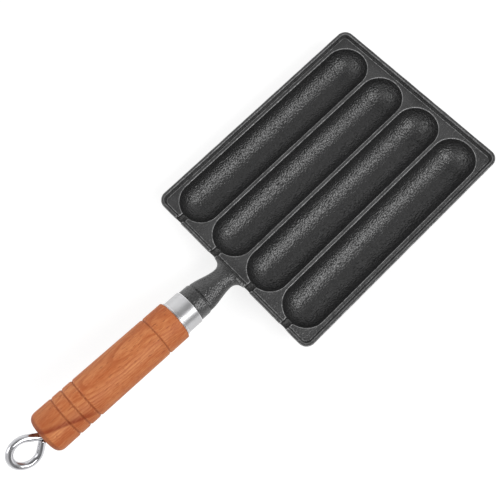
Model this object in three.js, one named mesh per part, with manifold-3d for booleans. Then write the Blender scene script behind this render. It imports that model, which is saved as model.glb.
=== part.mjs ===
// A cast iron pan with four round-bottomed troughs for sausages, a wooden handle, a metal
// ferrule and a steel rod with a hanging eye. The rod runs through the handle and screws into
// the neck of the casting. Millimetres, +Z up, the handle points along -X and rises.

import * as THREE from 'three';
import { mergeVertices } from 'three/addons/utils/BufferGeometryUtils.js';
import Module from 'manifold-3d';

// Plate and troughs
const TROUGH_COUNT = 4;
const TROUGH_PITCH = 33;
const TROUGH_WIDTH = 30;          // across the mouth
const TROUGH_LENGTH = 170;        // over the rounded ends
const TROUGH_DEPTH = 13;          // below the land
const WALL = 3.8;                 // metal round a trough
const GROUND_OFF = 0.6;           // taken off each bulge to make a flat to stand on
const LAND_THICKNESS = 4;         // flat metal between trough and rim
const MARGIN = 6.4;               // trough mouth to the outer edge
const CORNER_RADIUS = 8;
const RIM_WIDTH = 2.4;
const RIM_HEIGHT = 3;             // above the land
const RIM_DRAFT = 0.5;            // the rim is this much wider at its foot
const EDGE_CHAMFER = 0.7;         // along the top of the rim
const EDGE_DRAFT = 1.2;           // the outer wall leans in by this much

// Stick notches, one at the handle end of each trough
const NOTCH_WIDTH = 5.3;
const NOTCH_DEPTH = 2.2;          // below the land
const NOTCH_FILLET = 1;

// Neck and collar, cast in one with the plate
const HANDLE_TILT = THREE.MathUtils.degToRad(10);
const AXIS_HEIGHT = 2.6;          // handle axis above the land, at the edge of the plate
const NECK_LENGTH = 25.4;         // edge of the plate to the collar, along the axis
const NECK_WIDTH = 15.8;
const NECK_RISE = 4;              // above the rim, where the neck starts
const NECK_END_WIDTH = 20.4;
const NECK_END_HEIGHT = 14.4;
const NECK_FILLET = 5.5;          // seen from above, where the neck leaves the plate
const NECK_ROOT_SQUARENESS = 2;   // exponent of the section, 2 is an ellipse
const NECK_END_SQUARENESS = 1.7;
const COLLAR_DIAMETER = 22.6;
const COLLAR_LENGTH = 7.9;
const COLLAR_CHAMFER = 0.9;
const SPIGOT_LENGTH = 5.5;        // enters the ferrule

// Ferrule and wooden handle
const FIT_GAP = 0.3;              // between pieces that seat on each other
const FERRULE_DIAMETER = 24;
const FERRULE_LENGTH = 12.4;
const FERRULE_WALL = 0.9;
const FERRULE_LIP = 0.3;          // chamfer of its two edges
const HANDLE_DIAMETER = 27.4;
const HANDLE_LENGTH = 100.5;
const HANDLE_FRONT_ROUND = 0.8;
const HANDLE_TAIL_ROUND = 4.6;
const GROOVE_WIDTH = 1.8;
const GROOVE_DEPTH = 0.7;
const FRONT_GROOVE = 15.4;        // behind the handle's front face
const TAIL_GROOVE = 16.2;         // last groove to the tail
const TAIL_GROOVE_COUNT = 3;
const TAIL_GROOVE_PITCH = 7.45;
const BORE_CHAMFER = 1.2;         // at the tail

// Eye rod, one piece of bent wire
const ROD_DIAMETER = 4;
const ROD_POINT = 0.7;            // chamfer of the screwed end
const THREAD_ENGAGEMENT = 12;
const TAP_RELIEF = 2;             // the tapped hole runs on past the screw
const EYE_REACH = 23.6;           // tip of the eye beyond the handle's tail
const EYE_RADIUS = 8.5;           // to the middle of the wire
const EYE_LEG_ANGLE = THREE.MathUtils.degToRad(42);
const EYE_BEND_RADIUS = 4;
const EYE_TIP_GAP = 0.5;          // between the wire's end and the leg beside it
const EYE_TURN = THREE.MathUtils.degToRad(-45);

// Facets
const ROUND_SEGMENTS = 40;
const WIRE_SEGMENTS = 12;
const EYE_STEPS = 44;
const ARC_STEPS = 6;
const NECK_STEPS = 12;
const OVERLAP = 0.5;              // how far joined solids enter each other
const WELD = 1e-4;

// Levels, worked out from the base that the pan stands on
const plateLength = TROUGH_LENGTH + 2 * MARGIN;
const plateWidth = (TROUGH_COUNT - 1) * TROUGH_PITCH + TROUGH_WIDTH + 2 * MARGIN;
const landZ = TROUGH_DEPTH + WALL - GROUND_OFF;
const rimZ = landZ + RIM_HEIGHT;
const edgeZ = landZ - LAND_THICKNESS;
const troughRadius = (TROUGH_WIDTH ** 2 / 4 + TROUGH_DEPTH ** 2) / (2 * TROUGH_DEPTH);
const troughAxisZ = landZ - TROUGH_DEPTH + troughRadius;
const troughStraight = TROUGH_LENGTH - TROUGH_WIDTH;

// Stations along the handle axis, from the edge of the plate
const collarEnd = NECK_LENGTH + COLLAR_LENGTH;
const spigotEnd = collarEnd + SPIGOT_LENGTH;
const ferruleStart = collarEnd + FIT_GAP;
const ferruleEnd = ferruleStart + FERRULE_LENGTH;
const handleStart = ferruleEnd + FIT_GAP;
const tenonStart = spigotEnd + FIT_GAP;
const handleEnd = handleStart + HANDLE_LENGTH;
const rodStart = spigotEnd - THREAD_ENGAGEMENT;
const tapEnd = rodStart - TAP_RELIEF;
const eyeCentre = handleEnd + EYE_REACH - ROD_DIAMETER / 2 - EYE_RADIUS;
const eyeRoot = eyeCentre - EYE_RADIUS / Math.sin(EYE_LEG_ANGLE);
const eyeBend = eyeRoot - EYE_BEND_RADIUS * Math.tan(EYE_LEG_ANGLE / 2);

// Fits round the rod and inside the ferrule
const rodHoleRadius = ROD_DIAMETER / 2 + FIT_GAP;
const ferruleBoreRadius = FERRULE_DIAMETER / 2 - FERRULE_WALL;
const spigotRadius = ferruleBoreRadius - FIT_GAP;

// Handle axis: X across the pan, Y along the handle, Z above it
const along = new THREE.Vector3(-Math.cos(HANDLE_TILT), 0, Math.sin(HANDLE_TILT));
const across = new THREE.Vector3(0, 1, 0);
const above = new THREE.Vector3().crossVectors(across, along);
const axisStart = new THREE.Vector3(-plateLength / 2, 0, landZ + AXIS_HEIGHT);
const axisMatrix = new THREE.Matrix4().makeBasis(across, along, above).setPosition(axisStart);

const wasm = await Module();
wasm.setup();

// A closed geometry as a solid for joining and cutting
function solidFrom(geometry) {
  const bare = new THREE.BufferGeometry();
  bare.setAttribute('position', geometry.getAttribute('position'));
  bare.setIndex(geometry.getIndex());
  const merged = mergeVertices(bare, WELD);
  const corners = merged.getIndex().array;
  const triVerts = [];
  for (let i = 0; i < corners.length; i += 3) {
    const [a, b, c] = corners.slice(i, i + 3);
    if (a !== b && b !== c && c !== a) {
      triVerts.push(a, b, c);
    }
  }
  return new wasm.Manifold(new wasm.Mesh({
    numProp: 3,
    vertProperties: new Float32Array(merged.getAttribute('position').array),
    triVerts: new Uint32Array(triVerts),
  }));
}

function geometryFrom(solid) {
  const { vertProperties, triVerts } = solid.getMesh();
  const geometry = new THREE.BufferGeometry();
  geometry.setAttribute('position', new THREE.BufferAttribute(vertProperties, 3));
  geometry.setIndex(new THREE.BufferAttribute(triVerts, 1));
  geometry.computeVertexNormals();
  return geometry;
}

// Points of an arc in the plane, both ends included
function arcPoints(x, y, radius, from, to, steps = ARC_STEPS) {
  const points = [];
  for (let i = 0; i <= steps; i += 1) {
    const angle = from + ((to - from) * i) / steps;
    points.push(new THREE.Vector2(x + radius * Math.cos(angle), y + radius * Math.sin(angle)));
  }
  return points;
}

// A closed solid through rings of points, each ring anticlockwise seen from the last one
function loft(rings) {
  const count = rings[0].length;
  const points = rings.flat();
  const faces = [];
  for (let i = 0; i + 1 < rings.length; i += 1) {
    for (let j = 0; j < count; j += 1) {
      const here = i * count + j;
      const next = i * count + ((j + 1) % count);
      faces.push(here, next, next + count, here, next + count, here + count);
    }
  }
  const last = (rings.length - 1) * count;
  for (let j = 1; j + 1 < count; j += 1) {
    faces.push(0, j + 1, j, last, last + j, last + j + 1);
  }
  return new THREE.BufferGeometry().setFromPoints(points).setIndex(faces);
}

// The plate's outline at one level, moved in by an inset
function plateRing(inset, z) {
  const radius = CORNER_RADIUS - inset;
  const x = plateLength / 2 - CORNER_RADIUS;
  const y = plateWidth / 2 - CORNER_RADIUS;
  const corners = [[x, y], [-x, y], [-x, -y], [x, -y]];
  return corners.flatMap(([cx, cy], quarter) => {
    const from = (quarter * Math.PI) / 2;
    return arcPoints(cx, cy, radius, from, from + Math.PI / 2).map((p) => new THREE.Vector3(p.x, p.y, z));
  });
}

function plateSlab() {
  return loft([
    plateRing(EDGE_DRAFT, edgeZ),
    plateRing(0, rimZ - EDGE_CHAMFER),
    plateRing(EDGE_CHAMFER, rimZ),
  ]);
}

// The hollow inside the rim, down to the land and clear of the top of the neck
function rimRecess() {
  return loft([
    plateRing(RIM_WIDTH + RIM_DRAFT, landZ),
    plateRing(RIM_WIDTH, rimZ - EDGE_CHAMFER),
    plateRing(RIM_WIDTH - EDGE_CHAMFER, rimZ),
    plateRing(RIM_WIDTH - EDGE_CHAMFER, rimZ + NECK_RISE + OVERLAP),
  ]);
}

// A round bar with ball ends along a trough, as a revolve
function troughBar(radius, y) {
  const half = troughStraight / 2;
  const profile = [
    ...arcPoints(0, -half, radius, -Math.PI / 2, 0),
    ...arcPoints(0, half, radius, 0, Math.PI / 2),
  ];
  const bar = new THREE.LatheGeometry(profile, ROUND_SEGMENTS);
  bar.rotateZ(Math.PI / 2);
  bar.translate(0, y, troughAxisZ);
  return bar;
}

// A slot for a stick, with rounded lower corners, from the trough out through the rim
function stickNotch(y) {
  const half = NOTCH_WIDTH / 2;
  const bottom = landZ - NOTCH_DEPTH;
  const outline = new THREE.Shape();
  outline.moveTo(half, rimZ + OVERLAP);
  outline.lineTo(-half, rimZ + OVERLAP);
  outline.lineTo(-half, bottom + NOTCH_FILLET);
  outline.absarc(-half + NOTCH_FILLET, bottom + NOTCH_FILLET, NOTCH_FILLET, Math.PI, 1.5 * Math.PI);
  outline.absarc(half - NOTCH_FILLET, bottom + NOTCH_FILLET, NOTCH_FILLET, 1.5 * Math.PI, 2 * Math.PI);
  const depth = (plateLength - troughStraight) / 2 + OVERLAP;
  const notch = new THREE.ExtrudeGeometry(outline, { depth, bevelEnabled: false, curveSegments: 4 });
  notch.rotateX(Math.PI / 2);
  notch.rotateZ(Math.PI / 2);
  notch.translate(-plateLength / 2 - OVERLAP, y, 0);
  return notch;
}

// One section of the neck: an oval about a centre that isn't halfway up
function neckRing(centre, tilt, halfWidth, topHeight, bottomHeight, squareness) {
  const up = new THREE.Vector3(Math.sin(tilt), 0, Math.cos(tilt));
  const ring = [];
  for (let i = 0; i < ROUND_SEGMENTS / 2; i += 1) {
    const angle = (4 * Math.PI * i) / ROUND_SEGMENTS;
    const round = (value) => Math.sign(value) * Math.abs(value) ** (2 / squareness);
    const rise = round(Math.cos(angle));
    const point = centre.clone();
    point.addScaledVector(up, rise * (rise > 0 ? topHeight : bottomHeight));
    point.addScaledVector(across, halfWidth * round(Math.sin(angle)));
    ring.push(point);
  }
  return ring;
}

// The neck starts higher than the rim and ends as an oval at the collar
function neck() {
  const rootCentre = new THREE.Vector3(-plateLength / 2, 0, landZ);
  const endCentre = axisStart.clone().addScaledVector(along, NECK_LENGTH + OVERLAP);
  const rootTop = RIM_HEIGHT + NECK_RISE;
  const inside = rootCentre.clone().setX(rootCentre.x + RIM_WIDTH + OVERLAP);
  const flare = NECK_WIDTH / 2 + NECK_FILLET;
  const rings = [neckRing(inside, 0, flare, rootTop, LAND_THICKNESS, NECK_ROOT_SQUARENESS)];
  for (let i = 0; i <= NECK_STEPS; i += 1) {
    const share = i / NECK_STEPS;
    const swell = THREE.MathUtils.smoothstep(share, NECK_FILLET / NECK_LENGTH, 1);
    const fillet = Math.max(0, NECK_FILLET - share * NECK_LENGTH);
    rings.push(neckRing(
      rootCentre.clone().lerp(endCentre, share),
      HANDLE_TILT * share,
      THREE.MathUtils.lerp(NECK_WIDTH, NECK_END_WIDTH, swell) / 2
        + NECK_FILLET - Math.sqrt(NECK_FILLET ** 2 - fillet ** 2),
      THREE.MathUtils.lerp(rootTop, NECK_END_HEIGHT / 2, share),
      THREE.MathUtils.lerp(LAND_THICKNESS, NECK_END_HEIGHT / 2, share),
      THREE.MathUtils.lerp(NECK_ROOT_SQUARENESS, NECK_END_SQUARENESS, share),
    ));
  }
  return loft(rings);
}

// Collar and spigot, revolved about the handle axis
function collar() {
  const radius = COLLAR_DIAMETER / 2;
  const profile = [
    [0, NECK_LENGTH],
    [radius - COLLAR_CHAMFER, NECK_LENGTH],
    [radius, NECK_LENGTH + COLLAR_CHAMFER],
    [radius, collarEnd - COLLAR_CHAMFER / 2],
    [radius - COLLAR_CHAMFER / 2, collarEnd],
    [spigotRadius, collarEnd],
    [spigotRadius, spigotEnd],
    [0, spigotEnd],
  ];
  return revolve(profile);
}

function tappedHole() {
  return revolve([
    [0, tapEnd - rodHoleRadius / 2],
    [rodHoleRadius, tapEnd],
    [rodHoleRadius, spigotEnd + OVERLAP],
    [0, spigotEnd + OVERLAP],
  ]);
}

// A revolve about Y from radius and station pairs or points
function revolve(profile) {
  const points = profile.map((p) => (Array.isArray(p) ? new THREE.Vector2(...p) : p));
  return new THREE.LatheGeometry(points, ROUND_SEGMENTS);
}

function panCasting() {
  const rows = Array.from({ length: TROUGH_COUNT }, (_, i) => (i - (TROUGH_COUNT - 1) / 2) * TROUGH_PITCH);
  const underside = new THREE.BoxGeometry(plateLength, plateWidth, edgeZ + OVERLAP);
  underside.translate(0, 0, (edgeZ + OVERLAP) / 2);
  let bulges = solidFrom(troughBar(troughRadius + WALL, rows[0]));
  for (const y of rows.slice(1)) {
    bulges = bulges.add(solidFrom(troughBar(troughRadius + WALL, y)));
  }
  let casting = solidFrom(plateSlab()).add(bulges.intersect(solidFrom(underside)));
  casting = casting.add(solidFrom(neck()));
  casting = casting.subtract(solidFrom(rimRecess()));
  casting = casting.add(solidFrom(collar().applyMatrix4(axisMatrix)));
  casting = casting.subtract(solidFrom(tappedHole().applyMatrix4(axisMatrix)));
  for (const y of rows) {
    casting = casting.subtract(solidFrom(troughBar(troughRadius, y)));
    casting = casting.subtract(solidFrom(stickNotch(y)));
  }
  return geometryFrom(casting);
}

function ferrule() {
  const radius = FERRULE_DIAMETER / 2;
  return revolve([
    [ferruleBoreRadius, ferruleStart],
    [radius - FERRULE_LIP, ferruleStart],
    [radius, ferruleStart + FERRULE_LIP],
    [radius, ferruleEnd - FERRULE_LIP],
    [radius - FERRULE_LIP, ferruleEnd],
    [ferruleBoreRadius, ferruleEnd],
    [ferruleBoreRadius, ferruleStart],
  ]);
}

// A turned groove, as a shallow arc across the surface
function groove(station) {
  const half = GROOVE_WIDTH / 2;
  const radius = (half ** 2 + GROOVE_DEPTH ** 2) / (2 * GROOVE_DEPTH);
  const reach = Math.asin(half / radius);
  const x = HANDLE_DIAMETER / 2 - GROOVE_DEPTH + radius;
  return arcPoints(x, station, radius, Math.PI + reach, Math.PI - reach, ARC_STEPS / 2);
}

function woodenHandle() {
  const radius = HANDLE_DIAMETER / 2;
  const tailGrooves = Array.from(
    { length: TAIL_GROOVE_COUNT },
    (_, i) => handleEnd - TAIL_GROOVE - (TAIL_GROOVE_COUNT - 1 - i) * TAIL_GROOVE_PITCH,
  );
  const stations = [handleStart + FRONT_GROOVE, ...tailGrooves];
  return revolve([
    [rodHoleRadius, tenonStart],
    [spigotRadius, tenonStart],
    [spigotRadius, handleStart],
    ...arcPoints(radius - HANDLE_FRONT_ROUND, handleStart + HANDLE_FRONT_ROUND,
      HANDLE_FRONT_ROUND, -Math.PI / 2, 0, ARC_STEPS / 2),
    ...stations.flatMap(groove),
    ...arcPoints(radius - HANDLE_TAIL_ROUND, handleEnd - HANDLE_TAIL_ROUND,
      HANDLE_TAIL_ROUND, 0, Math.PI / 2),
    [rodHoleRadius + BORE_CHAMFER, handleEnd],
    [rodHoleRadius, handleEnd - BORE_CHAMFER],
    [rodHoleRadius, tenonStart],
  ]);
}

// A flat path as a curve in space
class FlatCurve extends THREE.Curve {
  constructor(path) {
    super();
    this.path = path;
  }

  getPoint(t, target = new THREE.Vector3()) {
    const point = this.path.getPointAt(t);
    return target.set(point.x, point.y, 0);
  }
}

// The eye: the rod bends aside, goes round and comes back to its own root
function eyeLoop() {
  const legs = 2 * EYE_LEG_ANGLE;
  const wireRadius = ROD_DIAMETER / 2;
  const tip = (EYE_TIP_GAP + wireRadius * (1 + Math.abs(Math.cos(legs)))) / Math.sin(legs);
  const path = new THREE.Path();
  path.moveTo(0, eyeBend - OVERLAP);
  path.lineTo(0, eyeBend);
  path.absarc(EYE_BEND_RADIUS, eyeBend, EYE_BEND_RADIUS, Math.PI, Math.PI - EYE_LEG_ANGLE, true);
  path.absarc(0, eyeCentre, EYE_RADIUS, -EYE_LEG_ANGLE, Math.PI + EYE_LEG_ANGLE, false);
  path.lineTo(-tip * Math.sin(EYE_LEG_ANGLE), eyeRoot + tip * Math.cos(EYE_LEG_ANGLE));
  const section = new THREE.Shape(arcPoints(0, 0, wireRadius, 0, 2 * Math.PI, WIRE_SEGMENTS).slice(1));
  return new THREE.ExtrudeGeometry(section, { steps: EYE_STEPS, extrudePath: new FlatCurve(path) });
}

function eyeRod() {
  const radius = ROD_DIAMETER / 2;
  const shank = new THREE.LatheGeometry([
    new THREE.Vector2(0, rodStart),
    new THREE.Vector2(radius - ROD_POINT, rodStart),
    new THREE.Vector2(radius, rodStart + ROD_POINT),
    new THREE.Vector2(radius, eyeBend),
    new THREE.Vector2(0, eyeBend),
  ], WIRE_SEGMENTS);
  return geometryFrom(solidFrom(shank).add(solidFrom(eyeLoop())));
}

const castIron = new THREE.MeshStandardMaterial({ color: 0x3b3c3d, roughness: 0.55, metalness: 0.6 });
const aluminium = new THREE.MeshStandardMaterial({ color: 0xc9cccf, roughness: 0.35, metalness: 1 });
const wood = new THREE.MeshStandardMaterial({ color: 0xc67a4e, roughness: 0.55, metalness: 0 });
const steel = new THREE.MeshStandardMaterial({ color: 0xb9bcc2, roughness: 0.15, metalness: 1 });

function named(name, geometry, material) {
  const mesh = new THREE.Mesh(geometry, material);
  mesh.name = name;
  return mesh;
}

const pan = new THREE.Group();
pan.add(named('pan_casting', panCasting(), castIron));

const handleAxis = new THREE.Group();
handleAxis.applyMatrix4(axisMatrix);
handleAxis.add(named('ferrule', ferrule(), aluminium));
handleAxis.add(named('wooden_handle', woodenHandle(), wood));
const rod = named('eye_rod', eyeRod(), steel);
rod.rotation.y = EYE_TURN;
handleAxis.add(rod);
pan.add(handleAxis);

// The origin is under the middle of the whole object, on the surface it stands on
const assembly = new THREE.Group();
assembly.add(pan);
const bounds = new THREE.Box3().setFromObject(assembly, true);
const middle = bounds.getCenter(new THREE.Vector3());
pan.position.set(-middle.x, -middle.y, -bounds.min.z);

export default assembly;
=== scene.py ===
"""Looks of a cast iron pan with four sausage troughs, a metal ferrule, a turned wooden handle
and a bent steel rod with a hanging eye. Sizes are in millimetres, as in the solids, and each
mesh is scaled to metres when it is made."""

import math

import bmesh
import bpy
import numpy as np
from mathutils import Matrix, Vector


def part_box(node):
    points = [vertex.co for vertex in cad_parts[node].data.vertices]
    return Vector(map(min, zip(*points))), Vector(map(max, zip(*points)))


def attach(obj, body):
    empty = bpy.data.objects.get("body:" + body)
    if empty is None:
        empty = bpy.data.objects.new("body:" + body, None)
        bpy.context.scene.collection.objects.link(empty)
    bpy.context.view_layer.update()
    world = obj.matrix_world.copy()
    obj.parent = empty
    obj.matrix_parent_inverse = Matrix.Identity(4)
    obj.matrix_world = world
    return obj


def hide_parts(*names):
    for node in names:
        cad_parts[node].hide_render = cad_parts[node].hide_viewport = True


MM = 0.001

# Plate and troughs
TROUGH_COUNT = 4
TROUGH_PITCH = 33.0
TROUGH_WIDTH = 30.0
TROUGH_LENGTH = 170.0
TROUGH_DEPTH = 13.0
WALL = 3.8
GROUND_OFF = 0.6
LAND_THICKNESS = 4.0
MARGIN = 6.4
CORNER_RADIUS = 7.0
RIM_WIDTH = 2.4
RIM_HEIGHT = 3.0
RIM_DRAFT = 0.5
EDGE_DRAFT = 1.2

# Stick notches
NOTCH_WIDTH = 5.3
NOTCH_DEPTH = 2.9
NOTCH_FILLET = 2.5

# Neck and collar
HANDLE_TILT = math.radians(10)
AXIS_HEIGHT = 2.6
NECK_LENGTH = 25.4
NECK_WIDTH = 15.8
NECK_END_WIDTH = 22.0
NECK_FILLET = 5.5
NECK_RISE = 4.0
NECK_END_HEIGHT = 14.4
NECK_ROOT_SQUARENESS = 2.0
NECK_END_SQUARENESS = 1.7
NECK_OVERRUN = 0.07               # share of its length by which it runs on at both ends
COLLAR_DIAMETER = 22.6
COLLAR_LENGTH = 7.9
SPIGOT_LENGTH = 5.5

# Soft edges and corners of the casting
RIM_ROUND = 0.8
FOOT_ROUND = 1.3
RECESS_FILLET = 0.55
MOUTH_EASE = 0.3                  # how far the rounded mouths open beyond the plain troughs
MOUTH_ROUND = 0.35
NOTCH_ROUND = 0.45
BULGE_TOP = 1.0                   # the bulges end this far below the land
BULGE_FILLET = 3.0
NECK_ROUND = 0.5
COLLAR_ROUND = 1.4
COLLAR_EDGE = 0.4
STEP_FILLET = 0.3
STEP_GROOVE_WIDTH = 1.2
STEP_GROOVE_DEPTH = 0.5
GROUND_ROUND = 0.5

# Ditch in the land along the foot of the rim, and the rubbed line beside it
DITCH_OFF = 0.22                  # from the foot of the rim to the middle of the ditch
DITCH_LIFT = 0.2                  # from the land up to the middle of the ditch
DITCH_RADIUS = 0.48
DITCH_ROUND = 0.2
RUBBED_OFF = 1.0                  # from the foot of the rim to the middle of the line
RUBBED_HALF_WIDTH = 0.7
RUBBED_BEND = 1.5                 # added to the skin's bend, so that the line looks rubbed
NOTCH_SOOT_AND_SHADE_BEND = -1.6                 # added in the notches, so that they look sooty and painted dark with shade

# Slow waves of the cast skin, in radians per millimetre, and their sway, in radians
UNEVEN = 0.05                     # how far the skin wanders from true
WAVE_X = 0.31
SWAY_X = 1.3
SWAY_X_BY_Y = 0.17
WAVE_Y = 0.37
SWAY_Y = 1.1
SWAY_Y_BY_X = 0.21
SWAY_Y_BY_Z = 0.4

# Ferrule and wooden handle
FIT_GAP = 0.3
FERRULE_DIAMETER = 24.0
FERRULE_LENGTH = 12.4
FERRULE_WALL = 0.9
FERRULE_FRONT_ROUND = 0.7
FERRULE_TAIL_ROUND = 0.55
FERRULE_INNER_ROUND = FERRULE_WALL / 6
FERRULE_BEAD = 0.4
FERRULE_BEAD_WIDTH = 1.6
HANDLE_DIAMETER = 27.4
HANDLE_LENGTH = 100.5
HANDLE_FRONT_ROUND = 0.8
HANDLE_TAIL_ROUND = 4.6
GROOVE_WIDTH = 1.8
GROOVE_DEPTH = 0.7
GROOVE_LIP = 1.3
FRONT_GROOVE = 15.4
TAIL_GROOVE = 16.2
TAIL_GROOVE_COUNT = 3
TAIL_GROOVE_PITCH = 7.45
BORE_CHAMFER = 1.2
BORE_ROUND = 0.4
TENON_ROUND = 0.5

# Eye rod
ROD_DIAMETER = 4.0
EYE_WIRE_DIAMETER = 4.5
ROD_POINT = 0.7
THREAD_ENGAGEMENT = 12.0
THREAD_PITCH = 0.7
THREAD_HEIGHT = 0.38
THREAD_FLANK = 1.3                # steepness of the flanks
THREAD_CREST = 0.15               # taken off the flanks for a flat crest
TAP_RELIEF = 2.0
EYE_REACH = 23.6
EYE_RADIUS = 8.6
EYE_LEG_ANGLE = math.radians(42)
EYE_BEND_RADIUS = 4.0
EYE_TIP_GAP = 0.5
EYE_SWELL = 3.0
EYE_TIP_ROUND = 0.8
EYE_TURN = math.radians(-45)

# Plate and troughs, with levels above the base
PLATE_LENGTH = TROUGH_LENGTH + 2 * MARGIN
PLATE_WIDTH = (TROUGH_COUNT - 1) * TROUGH_PITCH + TROUGH_WIDTH + 2 * MARGIN
LAND_Z = TROUGH_DEPTH + WALL - GROUND_OFF
RIM_Z = LAND_Z + RIM_HEIGHT
EDGE_Z = LAND_Z - LAND_THICKNESS
TROUGH_RADIUS = (TROUGH_WIDTH**2 / 4 + TROUGH_DEPTH**2) / (2 * TROUGH_DEPTH)
TROUGH_AXIS_Z = LAND_Z - TROUGH_DEPTH + TROUGH_RADIUS
TROUGH_HALF_STRAIGHT = (TROUGH_LENGTH - TROUGH_WIDTH) / 2
ROWS = [(i - (TROUGH_COUNT - 1) / 2) * TROUGH_PITCH for i in range(TROUGH_COUNT)]

# Stations along the handle axis, from the edge of the plate
COLLAR_END = NECK_LENGTH + COLLAR_LENGTH
SPIGOT_END = COLLAR_END + SPIGOT_LENGTH
FERRULE_START = COLLAR_END + FIT_GAP
FERRULE_END = FERRULE_START + FERRULE_LENGTH
HANDLE_START = FERRULE_END + FIT_GAP
TENON_START = SPIGOT_END + FIT_GAP
HANDLE_END = HANDLE_START + HANDLE_LENGTH
ROD_START = SPIGOT_END - THREAD_ENGAGEMENT
TAP_END = ROD_START - TAP_RELIEF
EYE_CENTRE = HANDLE_END + EYE_REACH - EYE_WIRE_DIAMETER / 2 - EYE_RADIUS
EYE_ROOT = EYE_CENTRE - EYE_RADIUS / math.sin(EYE_LEG_ANGLE)
EYE_BEND = EYE_ROOT - EYE_BEND_RADIUS * math.tan(EYE_LEG_ANGLE / 2)
ROD_HOLE_RADIUS = ROD_DIAMETER / 2 + FIT_GAP
FERRULE_BORE_RADIUS = FERRULE_DIAMETER / 2 - FERRULE_WALL
SPIGOT_RADIUS = FERRULE_BORE_RADIUS - FIT_GAP
HANDLE_RADIUS = HANDLE_DIAMETER / 2

# Handle axis in the plate's frame
ALONG = np.array([-math.cos(HANDLE_TILT), 0.0, math.sin(HANDLE_TILT)])
ABOVE = np.array([math.sin(HANDLE_TILT), 0.0, math.cos(HANDLE_TILT)])
AXIS_START = np.array([-PLATE_LENGTH / 2, 0.0, LAND_Z + AXIS_HEIGHT])

# Colours
IRON_DARK = (0.008, 0.008, 0.0083, 1.0)
IRON_LIGHT = (0.029, 0.029, 0.0295, 1.0)
IRON_TIP = (0.055, 0.055, 0.056, 1.0)
IRON_WORN = (0.30, 0.30, 0.302, 1.0)
# soot, with painted shade, for corners, creases and notches
IRON_SOOT_AND_SHADE = (0.004, 0.004, 0.004, 1.0)
WOOD_DARK = (0.41, 0.095, 0.026, 1.0)
WOOD_LIGHT = (0.63, 0.250, 0.095, 1.0)
WOOD_LATE = (0.36, 0.078, 0.020, 1.0)
WOOD_STREAK = (0.24, 0.034, 0.006, 1.0)
WOOD_PORE = (0.26, 0.06, 0.02, 1.0)
WOOD_GROOVE = (0.17, 0.038, 0.013, 1.0)
WOOD_WORN = (0.60, 0.25, 0.11, 1.0)
ALUMINIUM_DULL = (0.58, 0.58, 0.59, 1.0)
ALUMINIUM_BRIGHT = (0.70, 0.70, 0.71, 1.0)
ALUMINIUM_RUBBED = (0.92, 0.92, 0.93, 1.0)
STEEL_DULL = (0.44, 0.44, 0.46, 1.0)
STEEL_BRIGHT = (0.62, 0.62, 0.64, 1.0)

# Iron: scales of its noises, and spans over which each share goes from none to full
SAND_GRAIN = 1.2
SAND_HEIGHT = 0.28
GRAIN_SCALE = 1 / (SAND_GRAIN * MM)
SAND_SCALE = 1.6 / (SAND_GRAIN * MM)
PIT_SCALE = 0.35 / (SAND_GRAIN * MM)
CLOUD_SCALE = 55.0
CLOUD_SPAN = (0.3, 0.6)
TIP_SPAN = (0.55, 0.15)
TIP_SHARE = 0.4
# heights over which the iron grows greyer, and over which the plate's look gives way to the neck's
TOP_SPAN = ((LAND_Z - 1.2) * MM, (LAND_Z - 0.2) * MM)
NECK_SPAN = (RIM_Z * MM, (RIM_Z + 2) * MM)
WEAR_BEND = (0.7, 1.5)
WEAR_SAND = (0.25, 0.6)
WEAR_PITS = (0.3, 0.65)
WEAR_LEAST = 0.45
# bends over which corners and creases go dark: soot, and painted shade
SOOT_AND_SHADE_BEND = (-0.4, -1.3)
IRON_ROUGH = 0.38
TIP_ROUGH = 0.26
CREASE_ROUGH = 0.6
NECK_SMOOTH = 0.75                # roughness of the neck, as a share of the plate's
NECK_BUMP = 0.9
IRON_IOR = 2.0
IRON_SPECULAR = 0.29

# Growth of the wood: rings round a heart that lies under the handle and rises towards its tail
RING_WIDTH = 1.0
HEART_DEPTH = 30.0
HEART_RISE = 0.039
HEART_TURN = math.radians(18)
STREAK_AT = (0.0, HANDLE_END, HANDLE_RADIUS)
STREAK_NORMAL = (-0.756, 0.422, -0.501)
STREAK_WIDTH = 1.6
STREAK_FADE = 4.5
STREAK_HALO = 14.0
STREAK_LENGTH = 40.0
STREAK_DEPTH = 9.0                # how far below the handle's axis it fades out
STREAK_LOW_SHARE = 0.1
STREAK_HALO_SHARE = 0.4
STREAK_FIBRE = (0.25, 0.6)
STREAK_FIBRE_SHARES = (0.6, 0.95)

# Wood: noise scales per metre, across and along the handle, reach and relief in metres, and
# spans of each share
DRIFT_SCALE = 30.0
DRIFT_REACH = (0.003, 0.010, 0.003)
RIPPLE_SCALE = 130.0
RIPPLE_REACH = (0.0018, 0.0, 0.0018)
FIBRE_SCALE = (1200.0, 210.0, 1200.0)
FLOW_SCALE = (190.0, 26.0, 190.0)
PORE_SCALE = (1500.0, 240.0, 1500.0)
PORE_SPAN = (0.62, 0.74)
PORE_SHARE = 0.65
LATE_RISE = (0.3, 0.9)            # parts of a year's growth
LATE_FALL = (1.0, 0.9)
RING_NOISE_SCALE = 55.0
RING_NOISE_SPAN = (0.35, 0.65)
RING_SHARES = (0.25, 0.65)
FLOW_SHARE = 0.55
FIBRE_SHARE = 0.45
TONE_SPAN = (0.26, 0.74)
GROOVE_DARK_START = 0.15          # depth below the handle's face
GROOVE_DARK_SHARE = 0.5
WOOD_WEAR_BEND = (0.1, 0.7)
WOOD_WEAR_FIBRE = (0.45, 0.65)
WOOD_WEAR_SHARE = 0.35
WOOD_ROUGH = (0.50, 0.60)
WOOD_BUMP = 0.00006
WOOD_BUMP_STRENGTH = 0.5
WOOD_SPECULAR = 0.22

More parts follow.
